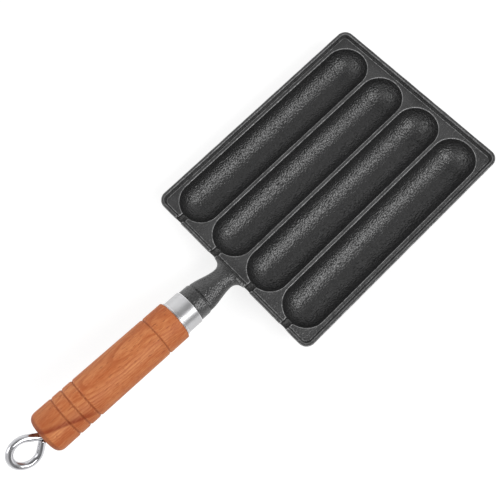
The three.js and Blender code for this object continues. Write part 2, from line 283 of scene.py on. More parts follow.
# Metals: noise scales per metre, spans of each share, roughness, and relief in metres
NOISE_SPAN = (0.3, 0.7)           # where most of a noise lies
TURNED_SCALE = (60.0, 5200.0, 60.0)
ALUMINIUM_HAZE = 180.0
ALUMINIUM_RUBBED_BEND = (0.4, 1.4)
ALUMINIUM_ROUGH = (0.46, 0.56)
ALUMINIUM_BUMP = 0.00003
ALUMINIUM_BUMP_STRENGTH = 0.4
ALUMINIUM_ANISOTROPY = 0.9
ALUMINIUM_QUARTER_TURN = 0.25
DRAWN_SCALE = (2.0, 2.0, 45.0)
DRAWN_SPAN = (0.35, 0.6)
STEEL_HAZE = 240.0
STEEL_ROUGH = (0.10, 0.20)
STEEL_BUMP = 0.00015

# Camera, floor and room, in metres
CAMERA_LENS = 43.0                # lens and sensor in millimetres
CAMERA_SENSOR = 36.0
CAMERA_PLACE = (-0.03967, -0.08227, 0.39739)
CAMERA_RIGHT = (0.71783, -0.69420, -0.05303)
CAMERA_UP = (0.68310, 0.68753, 0.24633)
CAMERA_BACK = (-0.13454, -0.21305, 0.96773)
FLOOR_RADIUS = 8.0
FLOOR_SEGMENTS = 96
FLOOR_DROP = 0.0002
FLOOR_TONE = 0.35
FLOOR_GLOW = 0.74
ROOM_LEVEL = 0.27
WALL_LEVEL = 1.55
FAR_END_LEVEL = 0.6
NEAR_END_LEVEL = 0.75
END_START = 0.4                   # parts of a direction's length, as in the next three
END_FULL = 0.65
WALL_EDGE = (0.15, 0.65)
WALL_FADE = (0.1, 0.75)

# Lamps: direction from where they aim, size and brightness of the face
LAMP_AIM = (0.06, 0.0, 0.0)
LAMP_DISTANCE = 1.2
KEY_DIRECTION = (0.15, -0.69, 0.71)
KEY_SIZE = (1.1, 0.56)
KEY_RADIANCE = 5.35
SIDE_DIRECTION = (-0.72, 0.35, 0.58)
SIDE_SIZE = (0.5, 0.5)
SIDE_RADIANCE = 3.2

# Mesh fineness
FINE = 0.45
COARSE = 0.7
LONG = 1.6
GRID_MARGIN = 1.0                 # how far the grid reaches beyond the casting
FINE_MARGIN = 2.0                 # how far the fine grid reaches into a trough from its side
FINE_END_MARGIN = 3.0             # and from its round end into its straight part
RIM_LAYERS = 9
OUTER_LAYERS = 3.5                # fine layers above the rim and below the plate's edge
SLAB = 24                         # layers of the grid worked out at a time
NEAREST_ROUNDS = 3                # rounds that find the nearest section of the neck
SETTLE_ROUNDS = 3                 # rounds that draw points on to the skin
LEAST_SLOPE = 0.2                 # keeps steps short where the slope is weak
LATHE_SEGMENTS = 128
WIRE_SEGMENTS = 32
THREAD_RINGS = 10                 # rings of points in one turn of the thread
STRAIGHT_STEP = 1.2
EYE_LEG_STEP = STRAIGHT_STEP / 2
ARC_STEP = math.radians(12)
EYE_ARC_STEP = ARC_STEP / 3
NO_TURN = 1e-3                    # radians; a corner that turns less stays as it is
TINY = 1e-6                       # keeps powers away from zero
FAR = 1000.0


def round_join(a, b, radius):
    """Two solids as one, with a fillet between them, from their distances."""
    fillet = np.hypot(np.maximum(radius - a, 0), np.maximum(radius - b, 0))
    return np.maximum(radius, np.minimum(a, b)) - fillet


def round_meet(a, b, radius):
    """What two solids share, with a rounded edge."""
    return -round_join(-a, -b, radius)


def round_cut(a, b, radius):
    """The first solid less the second, with a rounded edge."""
    return -round_join(-a, b, radius)


def mix(a, b, share):
    return a + (b - a) * share


def plate_outline(x, y):
    """Distance to the outline of the plate, negative inside."""
    across_x = np.abs(x) - (PLATE_LENGTH / 2 - CORNER_RADIUS)
    across_y = np.abs(y) - (PLATE_WIDTH / 2 - CORNER_RADIUS)
    outside = np.hypot(np.maximum(across_x, 0), np.maximum(across_y, 0))
    return outside + np.minimum(np.maximum(across_x, across_y), 0) - CORNER_RADIUS


def rim_foot(x, y):
    """Distance from the foot of the rim, positive on the land."""
    return -plate_outline(x, y) - RIM_WIDTH - RIM_DRAFT


def row_distance(y):
    """Distance across to the middle of the nearest trough."""
    return np.minimum.reduce([np.abs(y - row) for row in ROWS])


def trough_axis(x, y, z, row):
    """Distance to the middle line of a trough."""
    beyond = np.maximum(np.abs(x) - TROUGH_HALF_STRAIGHT, 0)
    return np.sqrt(beyond**2 + (y - row) ** 2 + (z - TROUGH_AXIS_Z) ** 2)


def neck(x, y, z):
    """The neck: a little higher than the plate's edge at its root, oval at the collar."""
    root = np.array([-PLATE_LENGTH / 2, LAND_Z])
    end = AXIS_START[[0, 2]] + NECK_LENGTH * ALONG[[0, 2]]
    run = end - root
    # well inside the plate the neck has no part in the skin
    if np.min(x) > root[0] + 4 * NECK_FILLET:
        return np.full(np.broadcast(x, y, z).shape, FAR)
    # how far along the neck the section through each point lies
    share = (x - root[0]) / run[0] + 0 * z
    for _ in range(NEAREST_ROUNDS):
        tilt = HANDLE_TILT * np.clip(share, 0, 1)
        off_x = x - root[0] - share * run[0]
        off_z = z - root[1] - share * run[1]
        off = off_z * np.sin(tilt) - off_x * np.cos(tilt)
        share = share + off / (run[1] * np.sin(tilt) - run[0] * np.cos(tilt))
    held = np.clip(share, 0, 1)
    tilt = HANDLE_TILT * held
    off_x = x - root[0] - held * run[0]
    off_z = z - root[1] - held * run[1]
    height = off_x * np.sin(tilt) + off_z * np.cos(tilt)
    start = NECK_FILLET / NECK_LENGTH
    swell = np.clip((held - start) / (1 - start), 0, 1)
    swell = swell**2 * (3 - 2 * swell)
    inside = np.maximum(NECK_FILLET - held * NECK_LENGTH, 0)
    fillet = NECK_FILLET - np.sqrt(NECK_FILLET**2 - inside**2)
    half_width = mix(NECK_WIDTH, NECK_END_WIDTH, swell) / 2 + fillet
    root_height = np.where(height > 0, RIM_HEIGHT + NECK_RISE, LAND_THICKNESS)
    half_height = mix(root_height, NECK_END_HEIGHT / 2, held)
    power = mix(NECK_ROOT_SQUARENESS, NECK_END_SQUARENESS, held)
    u = np.abs(y) / half_width + TINY
    v = np.abs(height) / half_height + TINY
    level = (u**power + v**power) ** (1 / power)
    slope = np.hypot(u ** (power - 1) / half_width, v ** (power - 1) / half_height)
    slope = np.maximum(slope * level ** (1 - power), 1 / (half_width + half_height))
    reach = np.abs(share - 0.5) - 0.5
    return np.maximum((level - 1) / slope, (reach - NECK_OVERRUN) * NECK_LENGTH)


def unevenness(x, y, z):
    """Slow waves of the cast skin, between -1 and 1."""
    first = np.sin(x * WAVE_X + SWAY_X * np.sin(y * SWAY_X_BY_Y))
    second = np.sin(y * WAVE_Y + SWAY_Y * np.sin(x * SWAY_Y_BY_X + z * SWAY_Y_BY_Z))
    return (first + second) / 2


def casting(x, y, z):
    """Distance to the skin of the casting, negative inside."""
    # plate, bulges below the troughs, and neck
    edge = plate_outline(x, y)
    lean = EDGE_DRAFT * (RIM_Z - z) / (RIM_Z - EDGE_Z)
    body = round_meet(edge + lean, z - RIM_Z, RIM_ROUND)
    body = round_meet(body, EDGE_Z - z, FOOT_ROUND)
    axes = [trough_axis(x, y, z, row) for row in ROWS]
    bulges = axes[0] - TROUGH_RADIUS - WALL
    for axis in axes[1:]:
        bulges = round_join(bulges, axis - TROUGH_RADIUS - WALL, BULGE_FILLET)
    bulges = np.maximum(bulges, z - LAND_Z + BULGE_TOP)
    body = round_join(body, bulges, BULGE_FILLET)
    stem = neck(x, y, z)
    body = round_join(body, stem, NECK_ROUND)

    # recess inside the rim, ditch, troughs and notches
    lean = RIM_DRAFT * (RIM_Z - z) / RIM_HEIGHT
    recess = round_meet(edge + RIM_WIDTH + lean, LAND_Z - z, RECESS_FILLET)
    body = round_cut(body, recess, RIM_ROUND)
    ditch = np.hypot(rim_foot(x, y) - DITCH_OFF, z - LAND_Z - DITCH_LIFT) - DITCH_RADIUS
    body = round_cut(body, ditch, DITCH_ROUND)
    body = round_cut(body, np.minimum.reduce(axes) - TROUGH_RADIUS - MOUTH_EASE, MOUTH_ROUND)
    notch = round_meet(row_distance(y) - NOTCH_WIDTH / 2, LAND_Z - NOTCH_DEPTH - z, NOTCH_FILLET)
    notch = np.maximum(notch, x + TROUGH_HALF_STRAIGHT)
    body = round_cut(body, notch, NOTCH_ROUND)

    # groove before the collar, which fades at its flanks, then collar and spigot
    off_x = x - AXIS_START[0]
    off_z = z - AXIS_START[2]
    station = off_x * ALONG[0] + off_z * ALONG[2]
    radius = np.hypot(y, off_x * ABOVE[0] + off_z * ABOVE[2])
    line = np.abs(station - NECK_LENGTH + STEP_GROOVE_WIDTH / 2) - STEP_GROOVE_WIDTH / 2
    flank = np.clip((np.abs(y) - COLLAR_DIAMETER / 4) / (COLLAR_DIAMETER / 4), 0, 1)
    depth = STEP_GROOVE_DEPTH * (1 - flank * flank)
    body = round_cut(body, np.maximum(line, -stem - depth), STEP_FILLET)
    collar = round_meet(radius - COLLAR_DIAMETER / 2, NECK_LENGTH - station, COLLAR_ROUND)
    collar = round_meet(collar, station - COLLAR_END, COLLAR_EDGE)
    spigot = round_meet(radius - SPIGOT_RADIUS, station - SPIGOT_END, COLLAR_EDGE)
    spigot = np.maximum(spigot, NECK_LENGTH + COLLAR_LENGTH / 2 - station)
    body = round_join(body, collar, STEP_FILLET)
    body = np.minimum(body, spigot)
    # the tapped hole runs out through the end of the spigot
    hole = np.maximum(radius - ROD_HOLE_RADIUS, TAP_END - station)
    hole = np.maximum(hole, station - SPIGOT_END - 2 * FIT_GAP)
    body = round_cut(body, hole, FIT_GAP)
    return round_meet(body + UNEVEN * unevenness(x, y, z), -z, GROUND_ROUND)


def rubbed_land(x, y, z):
    """Share of the rubbed line on the land, beside the foot of the rim."""
    share = np.clip(1 - np.abs(rim_foot(x, y) - RUBBED_OFF) / RUBBED_HALF_WIDTH, 0, 1)
    return np.where(np.abs(z - LAND_Z) < DITCH_LIFT, share, 0)


def sooty_shaded_notch(x, y, z):
    """Whether a point is down in one of the stick notches, which are painted dark with soot and shade.
    """
    within = row_distance(y) < NOTCH_WIDTH / 2 + UNEVEN
    beyond = x < -TROUGH_LENGTH / 2 + NOTCH_ROUND
    return within & beyond & (z < LAND_Z - NOTCH_ROUND)


def grid_lines(*runs):
    """Lines of a grid over runs of start, end and spacing."""
    lines = [np.linspace(a, b, round((b - a) / step), endpoint=False) for a, b, step in runs]
    return np.concatenate(lines + [[runs[-1][1]]])


def surface_net(distance, xs, ys, zs):
    """A mesh of quads over the zero of a distance, one point in each cell that the skin crosses."""
    values = np.empty((len(xs), len(ys), len(zs)))
    for i in range(0, len(xs), SLAB):
        part = xs[i:i + SLAB]
        values[i:i + SLAB] = distance(part[:, None, None], ys[None, :, None], zs[None, None, :])
    inside = values < 0
    corners = [(i, j, k) for i in (0, 1) for j in (0, 1) for k in (0, 1)]
    cells = [n - 1 for n in values.shape]
    count = np.zeros(cells, np.int8)
    for i, j, k in corners:
        count += inside[i:i + cells[0], j:j + cells[1], k:k + cells[2]]
    crossed = np.argwhere((count > 0) & (count < len(corners)))
    number = np.full(cells, -1, np.int64)
    number[tuple(crossed.T)] = np.arange(len(crossed))

    grid = (xs, ys, zs)
    total = np.zeros((len(crossed), 3))
    hits = np.zeros(len(crossed))
    for low in corners:
        for axis in range(3):
            if low[axis]:
                continue
            here = crossed + low
            there = here.copy()
            there[:, axis] += 1
            a = values[tuple(here.T)]
            b = values[tuple(there.T)]
            cut = (a < 0) != (b < 0)
            share = np.where(cut, a / np.where(cut, a - b, 1), 0)
            for side in range(3):
                point = mix(grid[side][here[:, side]], grid[side][there[:, side]], share)
                total[:, side] += np.where(cut, point, 0)
            hits += cut
    points = total / hits[:, None]

    quads = []
    for axis in range(3):
        first, second = (axis + 1) % 3, (axis + 2) % 3
        low = [slice(None)] * 3
        high = [slice(None)] * 3
        low[axis] = slice(None, -1)
        high[axis] = slice(1, None)
        start = inside[tuple(low)]
        edges = np.argwhere(start != inside[tuple(high)])
        ring = []
        for step_first, step_second in ((-1, -1), (0, -1), (0, 0), (-1, 0)):
            cell = edges.copy()
            cell[:, first] += step_first
            cell[:, second] += step_second
            ring.append(number[tuple(cell.T)])
        ring = np.stack(ring, 1)
        leaving = start[tuple(edges.T)]
        quads.append(np.where(leaving[:, None], ring, ring[:, ::-1]))
    return points, np.concatenate(quads)


def skin_gradient(distance, points, step=0.03):
    """Slope of a distance at each point, over a small step to both sides."""
    slopes = []
    for axis in range(3):
        shift = np.zeros(3)
        shift[axis] = step
        ahead = distance(*(points + shift).T)
        behind = distance(*(points - shift).T)
        slopes.append((ahead - behind) / (2 * step))
    return np.stack(slopes, 1)


def skin_bend(distance, points, step=0.25):
    """Curvature of the skin: positive on an edge, negative in a corner."""
    middle = distance(*points.T)
    total = np.zeros(len(points))
    for axis in range(3):
        shift = np.zeros(3)
        shift[axis] = step
        total += distance(*(points + shift).T) + distance(*(points - shift).T) - 2 * middle
    return total / step**2


def mesh_object(name, points, faces, matrix=None):
    """A smooth-shaded object from points in millimetres."""
    mesh = bpy.data.meshes.new(name)
    mesh.from_pydata((np.asarray(points) * MM).tolist(), [], [list(f) for f in faces])
    sheet = bmesh.new()
    sheet.from_mesh(mesh)
    bmesh.ops.recalc_face_normals(sheet, faces=sheet.faces)
    sheet.to_mesh(mesh)
    sheet.free()
    mesh.shade_smooth()
    obj = bpy.data.objects.new(name, mesh)
    bpy.context.scene.collection.objects.link(obj)
    if matrix is not None:
        obj.matrix_world = matrix
    return obj


def cast_body(name, shift):
    """The casting as a fine mesh on its own skin. Its points carry how sharply the skin bends."""
    reach = SPIGOT_END * math.cos(HANDLE_TILT) + COLLAR_DIAMETER / 4
    ends = TROUGH_HALF_STRAIGHT - FINE_END_MARGIN
    half_length = PLATE_LENGTH / 2
    xs = grid_lines(
        (-half_length - reach, -ends, FINE),
        (-ends, ends, LONG),
        (ends, half_length + GRID_MARGIN, FINE),
    )
    sides = PLATE_WIDTH / 2 - MARGIN - FINE_MARGIN
    half_band = (TROUGH_PITCH - TROUGH_WIDTH) / 2 + FINE_MARGIN
    runs = [(-PLATE_WIDTH / 2 - GRID_MARGIN, -sides, FINE)]
    for row in ROWS[:-1]:
        rib = row + TROUGH_PITCH / 2
        runs.append((runs[-1][1], rib - half_band, COARSE))
        runs.append((rib - half_band, rib + half_band, FINE))
    runs.append((runs[-1][1], sides, COARSE))
    runs.append((sides, PLATE_WIDTH / 2 + GRID_MARGIN, FINE))
    ys = grid_lines(*runs)
    # flat levels lie between two lines of the grid
    layer = RIM_HEIGHT / RIM_LAYERS
    foot = EDGE_Z - OUTER_LAYERS * layer
    brim = RIM_Z + OUTER_LAYERS * layer
    top = AXIS_START[2] + SPIGOT_END * math.sin(HANDLE_TILT) + COLLAR_DIAMETER / 2 + GRID_MARGIN
    zs = grid_lines((-COARSE / 2, foot, COARSE), (foot, brim, layer), (brim, top, FINE))

    points, quads = surface_net(casting, xs, ys, zs)
    for _ in range(SETTLE_ROUNDS):
        slope = skin_gradient(casting, points)
        size = np.maximum((slope**2).sum(1), LEAST_SLOPE)
        off = np.clip(casting(*points.T) / size, -FINE, FINE)
        points = points - slope * off[:, None]
    bend = skin_bend(casting, points)
    # the notches get a sharper inward bend, which paints them dark with soot and painted shade
    bend += RUBBED_BEND * rubbed_land(*points.T) + NOTCH_SOOT_AND_SHADE_BEND * sooty_shaded_notch(*points.T)
    return add_bend(mesh_object(name, points + shift, quads), bend)


def rounded(corners):
    """A closed profile from corners of radius, station and rounding, with even steps."""
    points = []
    count = len(corners)
    for i in range(count):
        here = Vector(corners[i][:2])
        before = Vector(corners[i - 1][:2]) - here
        after = Vector(corners[(i + 1) % count][:2]) - here
        rounding = corners[i][2]
        turn = math.pi - before.angle(after)
        if rounding <= 0 or turn < NO_TURN:
            points.append(here)
            continue
        back = rounding * math.tan(turn / 2)
        centre = here + (before.normalized() + after.normalized()).normalized() * (
            rounding / math.cos(turn / 2)
        )
        start = here + before.normalized() * back - centre
        finish = here + after.normalized() * back - centre
        steps = max(2, round(turn / ARC_STEP))
        for k in range(steps + 1):
            share = k / steps
            a = math.sin((1 - share) * turn) / math.sin(turn)
            b = math.sin(share * turn) / math.sin(turn)
            points.append(centre + start * a + finish * b)
    profile = []
    for i, point in enumerate(points):
        run = points[(i + 1) % len(points)] - point
        steps = max(1, math.ceil(run.length / STRAIGHT_STEP))
        profile += [point + run * (k / steps) for k in range(steps)]
    return profile


def profile_bend(profile):
    """How sharply a closed profile turns at each point: positive on an edge, negative in a corner."""
    bends = []
    for i, point in enumerate(profile):
        before = point - profile[i - 1]
        after = profile[(i + 1) % len(profile)] - point
        turn = math.atan2(before.x * after.y - before.y * after.x, before.dot(after))
        bends.append(2 * turn / (before.length + after.length))
    return bends


def add_bend(obj, values):
    bend = obj.data.attributes.new("bend", "FLOAT", "POINT")
    bend.data.foreach_set("value", np.asarray(values, np.float32))
    return obj


def lathe(name, corners, matrix):
    """A turned piece about the handle axis, from a closed profile."""
    profile = rounded(corners)
    angles = np.arange(LATHE_SEGMENTS) * (2 * math.pi / LATHE_SEGMENTS)
    points = []
    for radius, station in profile:
        ring = [np.cos(angles) * radius, np.full_like(angles, station), np.sin(angles) * radius]
        points.append(np.stack(ring, 1))
    obj = mesh_object(name, np.concatenate(points), tube_faces(len(profile), True), matrix)
    return add_bend(obj, np.repeat(profile_bend(profile), LATHE_SEGMENTS))


def tube_faces(rings, closed, segments=LATHE_SEGMENTS):
    """Quads between rings of points, and from the last ring to the first where closed."""
    faces = []
    for i in range(rings if closed else rings - 1):
        here = i * segments
        there = ((i + 1) % rings) * segments
        for j in range(segments):
            k = (j + 1) % segments
            faces.append((here + j, here + k, there + k, there + j))
    return faces


def groove(station):
    half = GROOVE_WIDTH / 2
    return [
        (HANDLE_RADIUS, station - half, GROOVE_LIP),
        (HANDLE_RADIUS - GROOVE_DEPTH, station, GROOVE_DEPTH / 3),
        (HANDLE_RADIUS, station + half, GROOVE_LIP),
    ]


def handle_profile():
    stations = [HANDLE_START + FRONT_GROOVE]
    for i in reversed(range(TAIL_GROOVE_COUNT)):
        stations.append(HANDLE_END - TAIL_GROOVE - i * TAIL_GROOVE_PITCH)
    grooves = [corner for station in stations for corner in groove(station)]
    return [
        (ROD_HOLE_RADIUS, TENON_START, 0),
        (SPIGOT_RADIUS, TENON_START, TENON_ROUND),
        (SPIGOT_RADIUS, HANDLE_START, 0),
        (HANDLE_RADIUS, HANDLE_START, HANDLE_FRONT_ROUND),
        *grooves,
        (HANDLE_RADIUS, HANDLE_END, HANDLE_TAIL_ROUND),
        (ROD_HOLE_RADIUS + BORE_CHAMFER, HANDLE_END, BORE_ROUND),
        (ROD_HOLE_RADIUS, HANDLE_END - BORE_CHAMFER, BORE_ROUND),
    ]


def ferrule_profile():
    radius = FERRULE_DIAMETER / 2
    end = FERRULE_END + FIT_GAP / 2
    bead = end - FERRULE_BEAD_WIDTH
    return [
        (FERRULE_BORE_RADIUS, FERRULE_START, FERRULE_INNER_ROUND),
        (radius, FERRULE_START, FERRULE_FRONT_ROUND),
        (radius, bead, FERRULE_BEAD),
        (radius + FERRULE_BEAD, bead + FERRULE_BEAD, FERRULE_BEAD),
        (radius + FERRULE_BEAD, end, FERRULE_TAIL_ROUND),
        (FERRULE_BORE_RADIUS, end, FERRULE_INNER_ROUND),
    ]


def eye_path():
    """Points along the wire from the end of the screw: shank, bend, eye and back to the root."""
    shank = np.arange(ROD_START + THREAD_ENGAGEMENT, EYE_BEND, STRAIGHT_STEP)
    points = [Vector((0, station)) for station in shank]

    def add_arc(centre, radius, start, end):
        steps = math.ceil(abs(end - start) / EYE_ARC_STEP)
        for i in range(steps + 1):
            angle = start + (end - start) * i / steps
            points.append(centre + radius * Vector((math.cos(angle), math.sin(angle))))

    legs = EYE_LEG_ANGLE
    add_arc(Vector((EYE_BEND_RADIUS, EYE_BEND)), EYE_BEND_RADIUS, math.pi, math.pi - legs)
    add_arc(Vector((0, EYE_CENTRE)), EYE_RADIUS, -legs, math.pi + legs)
    wire = EYE_WIRE_DIAMETER / 2
    tip = (EYE_TIP_GAP + wire * (1 + abs(math.cos(2 * legs)))) / math.sin(2 * legs)
    end = Vector((-tip * math.sin(legs), EYE_ROOT + tip * math.cos(legs)))
    run = end - points[-1]
    steps = math.ceil(run.length / EYE_LEG_STEP)
    points.extend([points[-1] + run * (i / steps) for i in range(1, steps + 1)])
    return points


def eye_rod(name, matrix):
    """The wire: a screwed end, a shank and the eye, as one tube with rounded ends."""
    angles = np.arange(WIRE_SEGMENTS) * (2 * math.pi / WIRE_SEGMENTS)
    wire = ROD_DIAMETER / 2
    rings = []
    centres = []

    def add_ring(centre, direction, radius):
        side = Vector((direction.y, -direction.x))
        flat = np.cos(angles) * radius
        centres.append(centre)
        rings.append(np.stack([
            centre.x + flat * side.x,
            centre.y + flat * side.y,
            np.sin(angles) * radius,
        ], 1))

    up = Vector((0, 1))
    for s in np.arange(0, THREAD_ENGAGEMENT, THREAD_PITCH / THREAD_RINGS):
        turn = (s / THREAD_PITCH - angles / (2 * math.pi)) % 1
        flank = np.abs(2 * turn - 1) * THREAD_FLANK - THREAD_CREST
        depth = THREAD_HEIGHT * np.clip(flank, 0, 1)
        fade = min(1, (THREAD_ENGAGEMENT - s) / THREAD_PITCH)
        point = min(wire, wire - ROD_POINT + s)
        add_ring(Vector((0, ROD_START + s)), up, np.minimum(wire - depth * fade, point))
    path = eye_path()
    for i, point in enumerate(path):
        direction = path[min(i + 1, len(path) - 1)] - path[max(i - 1, 0)]
        swell = np.clip((point.y - HANDLE_END) / EYE_SWELL + 1, 0, 1)
        wire = mix(ROD_DIAMETER, EYE_WIRE_DIAMETER, swell) / 2
        add_ring(point, direction.normalized(), np.full_like(angles, wire))
    steps = round(math.pi / 2 / ARC_STEP)
    for i in range(1, steps + 1):
        angle = math.pi / 2 * i / steps
        centre = path[-1] + direction.normalized() * EYE_TIP_ROUND * math.sin(angle)
        radius = wire - EYE_TIP_ROUND * (1 - math.cos(angle))
        add_ring(centre, direction.normalized(), np.full_like(angles, radius))
    count = len(rings)
    faces = tube_faces(count, False, WIRE_SEGMENTS)
    faces.append(tuple(range(WIRE_SEGMENTS)))
    faces.append(tuple(range((count - 1) * WIRE_SEGMENTS, count * WIRE_SEGMENTS)))
    obj = mesh_object(name, np.concatenate(rings), faces, matrix)
    lengths = [0.0] + [(b - a).length * MM for a, b in zip(centres, centres[1:])]
    around = np.tile(np.stack([np.cos(angles), np.sin(angles)], 1), (count, 1))
    along = np.repeat(np.cumsum(lengths), WIRE_SEGMENTS)
    marks = obj.data.attributes.new("wire", "FLOAT_VECTOR", "POINT")
    marks.data.foreach_set("vector", np.column_stack([around, along]).astype(np.float32).ravel())
    return obj


class Look:
    """A node material, built up from its texture nodes to its shader."""

    def __init__(self, name):
        self.material = bpy.data.materials.new(name)
        self.material.use_nodes = True
        self.tree = self.material.node_tree
        self.shader = self.tree.nodes["Principled BSDF"]

    def add(self, kind, inputs=None, **settings):
        node = self.tree.nodes.new(kind)
        for key, value in settings.items():
            setattr(node, key, value)
        self.put(node, inputs or {})
        return node

    def put(self, node, inputs):
        for key, value in inputs.items():
            if isinstance(value, bpy.types.NodeSocket):
                self.tree.links.new(value, node.inputs[key])
            else:
                node.inputs[key].default_value = value

    def place(self):
        return self.add("ShaderNodeTexCoord").outputs["Object"]

    def attribute(self, name):
        return self.add("ShaderNodeAttribute", attribute_name=name).outputs["Fac"]

    def noise(self, vector, scale, detail=2.0, rough=0.5):
        inputs = {"Vector": vector, "Scale": scale, "Detail": detail, "Roughness": rough}
        return self.add("ShaderNodeTexNoise", inputs).outputs["Fac"]

    def wander(self, start, place, scale, detail, reach):
        """The start, moved about by a noise of the place, up to half the reach each way."""
        inputs = {"Vector": place, "Scale": scale, "Detail": detail}
        drift = self.add("ShaderNodeTexNoise", inputs).outputs["Color"]
        drift = self.vector("SUBTRACT", drift, (0.5, 0.5, 0.5))
        return self.vector("ADD", start, self.vector("MULTIPLY", drift, reach))

    def math(self, operation, a, b=0.0):
        return self.add("ShaderNodeMath", {0: a, 1: b}, operation=operation).outputs[0]

    def product(self, value, *factors):
        for factor in factors:
            value = self.math("MULTIPLY", value, factor)
        return value

    def vector(self, operation, a, b):
        return self.add("ShaderNodeVectorMath", {0: a, 1: b}, operation=operation).outputs[0]

    def size(self, operation, a, b=(0.0, 0.0, 0.0)):
        return self.add("ShaderNodeVectorMath", {0: a, 1: b}, operation=operation).outputs["Value"]

    def span(self, value, low, high, to_low=0.0, to_high=1.0):
        node = self.add("ShaderNodeMapRange", {
            "Value": value, "From Min": low, "From Max": high, "To Min": to_low, "To Max": to_high,
        }, interpolation_type="SMOOTHSTEP")
        return node.outputs["Result"]

    def blend(self, share, a, b):
        node = self.add("ShaderNodeMix", data_type="RGBA")
        self.put(node, {0: share, 6: a, 7: b})
        return node.outputs[2]

    def bump(self, height, distance, strength=1.0):
        inputs = {"Height": height, "Distance": distance, "Strength": strength}
        return self.add("ShaderNodeBump", inputs).outputs["Normal"]


def grey(value):
    return (value, value, value, 1.0)


def iron_look():
    """Seasoned cast iron: a skin of sand grains, sooty and painted dark with shade in corners, greyer on
    top and rubbed on edges.
    """
    look = Look("cast_iron")
    place = look.place()
    bend = look.attribute("bend")
    level = look.add("ShaderNodeSeparateXYZ", {0: place}).outputs["Z"]
    cells = look.add("ShaderNodeTexVoronoi", {"Vector": place, "Scale": GRAIN_SCALE})
    grain = cells.outputs["Distance"]
    sand = look.noise(place, SAND_SCALE, 2.0, 0.6)
    pits = look.noise(place, PIT_SCALE, 2.0, 0.5)
    cloud = look.noise(place, CLOUD_SCALE, 3.0, 0.6)
    tips = look.span(grain, *TIP_SPAN)
    top = look.span(level, *TOP_SPAN)
    raised = look.span(level, *NECK_SPAN)
    wear = look.product(
        look.span(bend, *WEAR_BEND),
        look.span(sand, *WEAR_SAND),
        look.span(pits, *WEAR_PITS, WEAR_LEAST, 1.0),
        look.span(raised, 0.0, 1.0, 1.0, 0.0),
    )
    # corners and creases painted dark, for soot and for the shade that falls in them
    soot_and_shade = look.span(bend, *SOOT_AND_SHADE_BEND)
    colour = look.blend(look.product(top, look.span(cloud, *CLOUD_SPAN)), IRON_DARK, IRON_LIGHT)
    colour = look.blend(look.product(tips, TIP_SHARE), colour, IRON_TIP)
    colour = look.blend(wear, colour, IRON_WORN)
    colour = look.blend(soot_and_shade, colour, IRON_SOOT_AND_SHADE)
    height = look.product(grain, grain, -SAND_HEIGHT)
    height = look.math("ADD", height, look.product(sand, SAND_HEIGHT / 2))
    height = look.math("ADD", height, look.product(pits, SAND_HEIGHT))
    rough = look.span(tips, 0.0, 1.0, IRON_ROUGH, TIP_ROUGH)
    rough = look.product(rough, look.span(raised, 0.0, 1.0, 1.0, NECK_SMOOTH))
    rough = look.math("MAXIMUM", rough, look.product(soot_and_shade, CREASE_ROUGH))
    look.put(look.shader, {
        "Base Color": colour,
        "Roughness": rough,
        "Normal": look.bump(height, MM, look.span(raised, 0.0, 1.0, 1.0, NECK_BUMP)),
        "IOR": IRON_IOR,
        "Specular IOR Level": IRON_SPECULAR,
    })
    return look.material


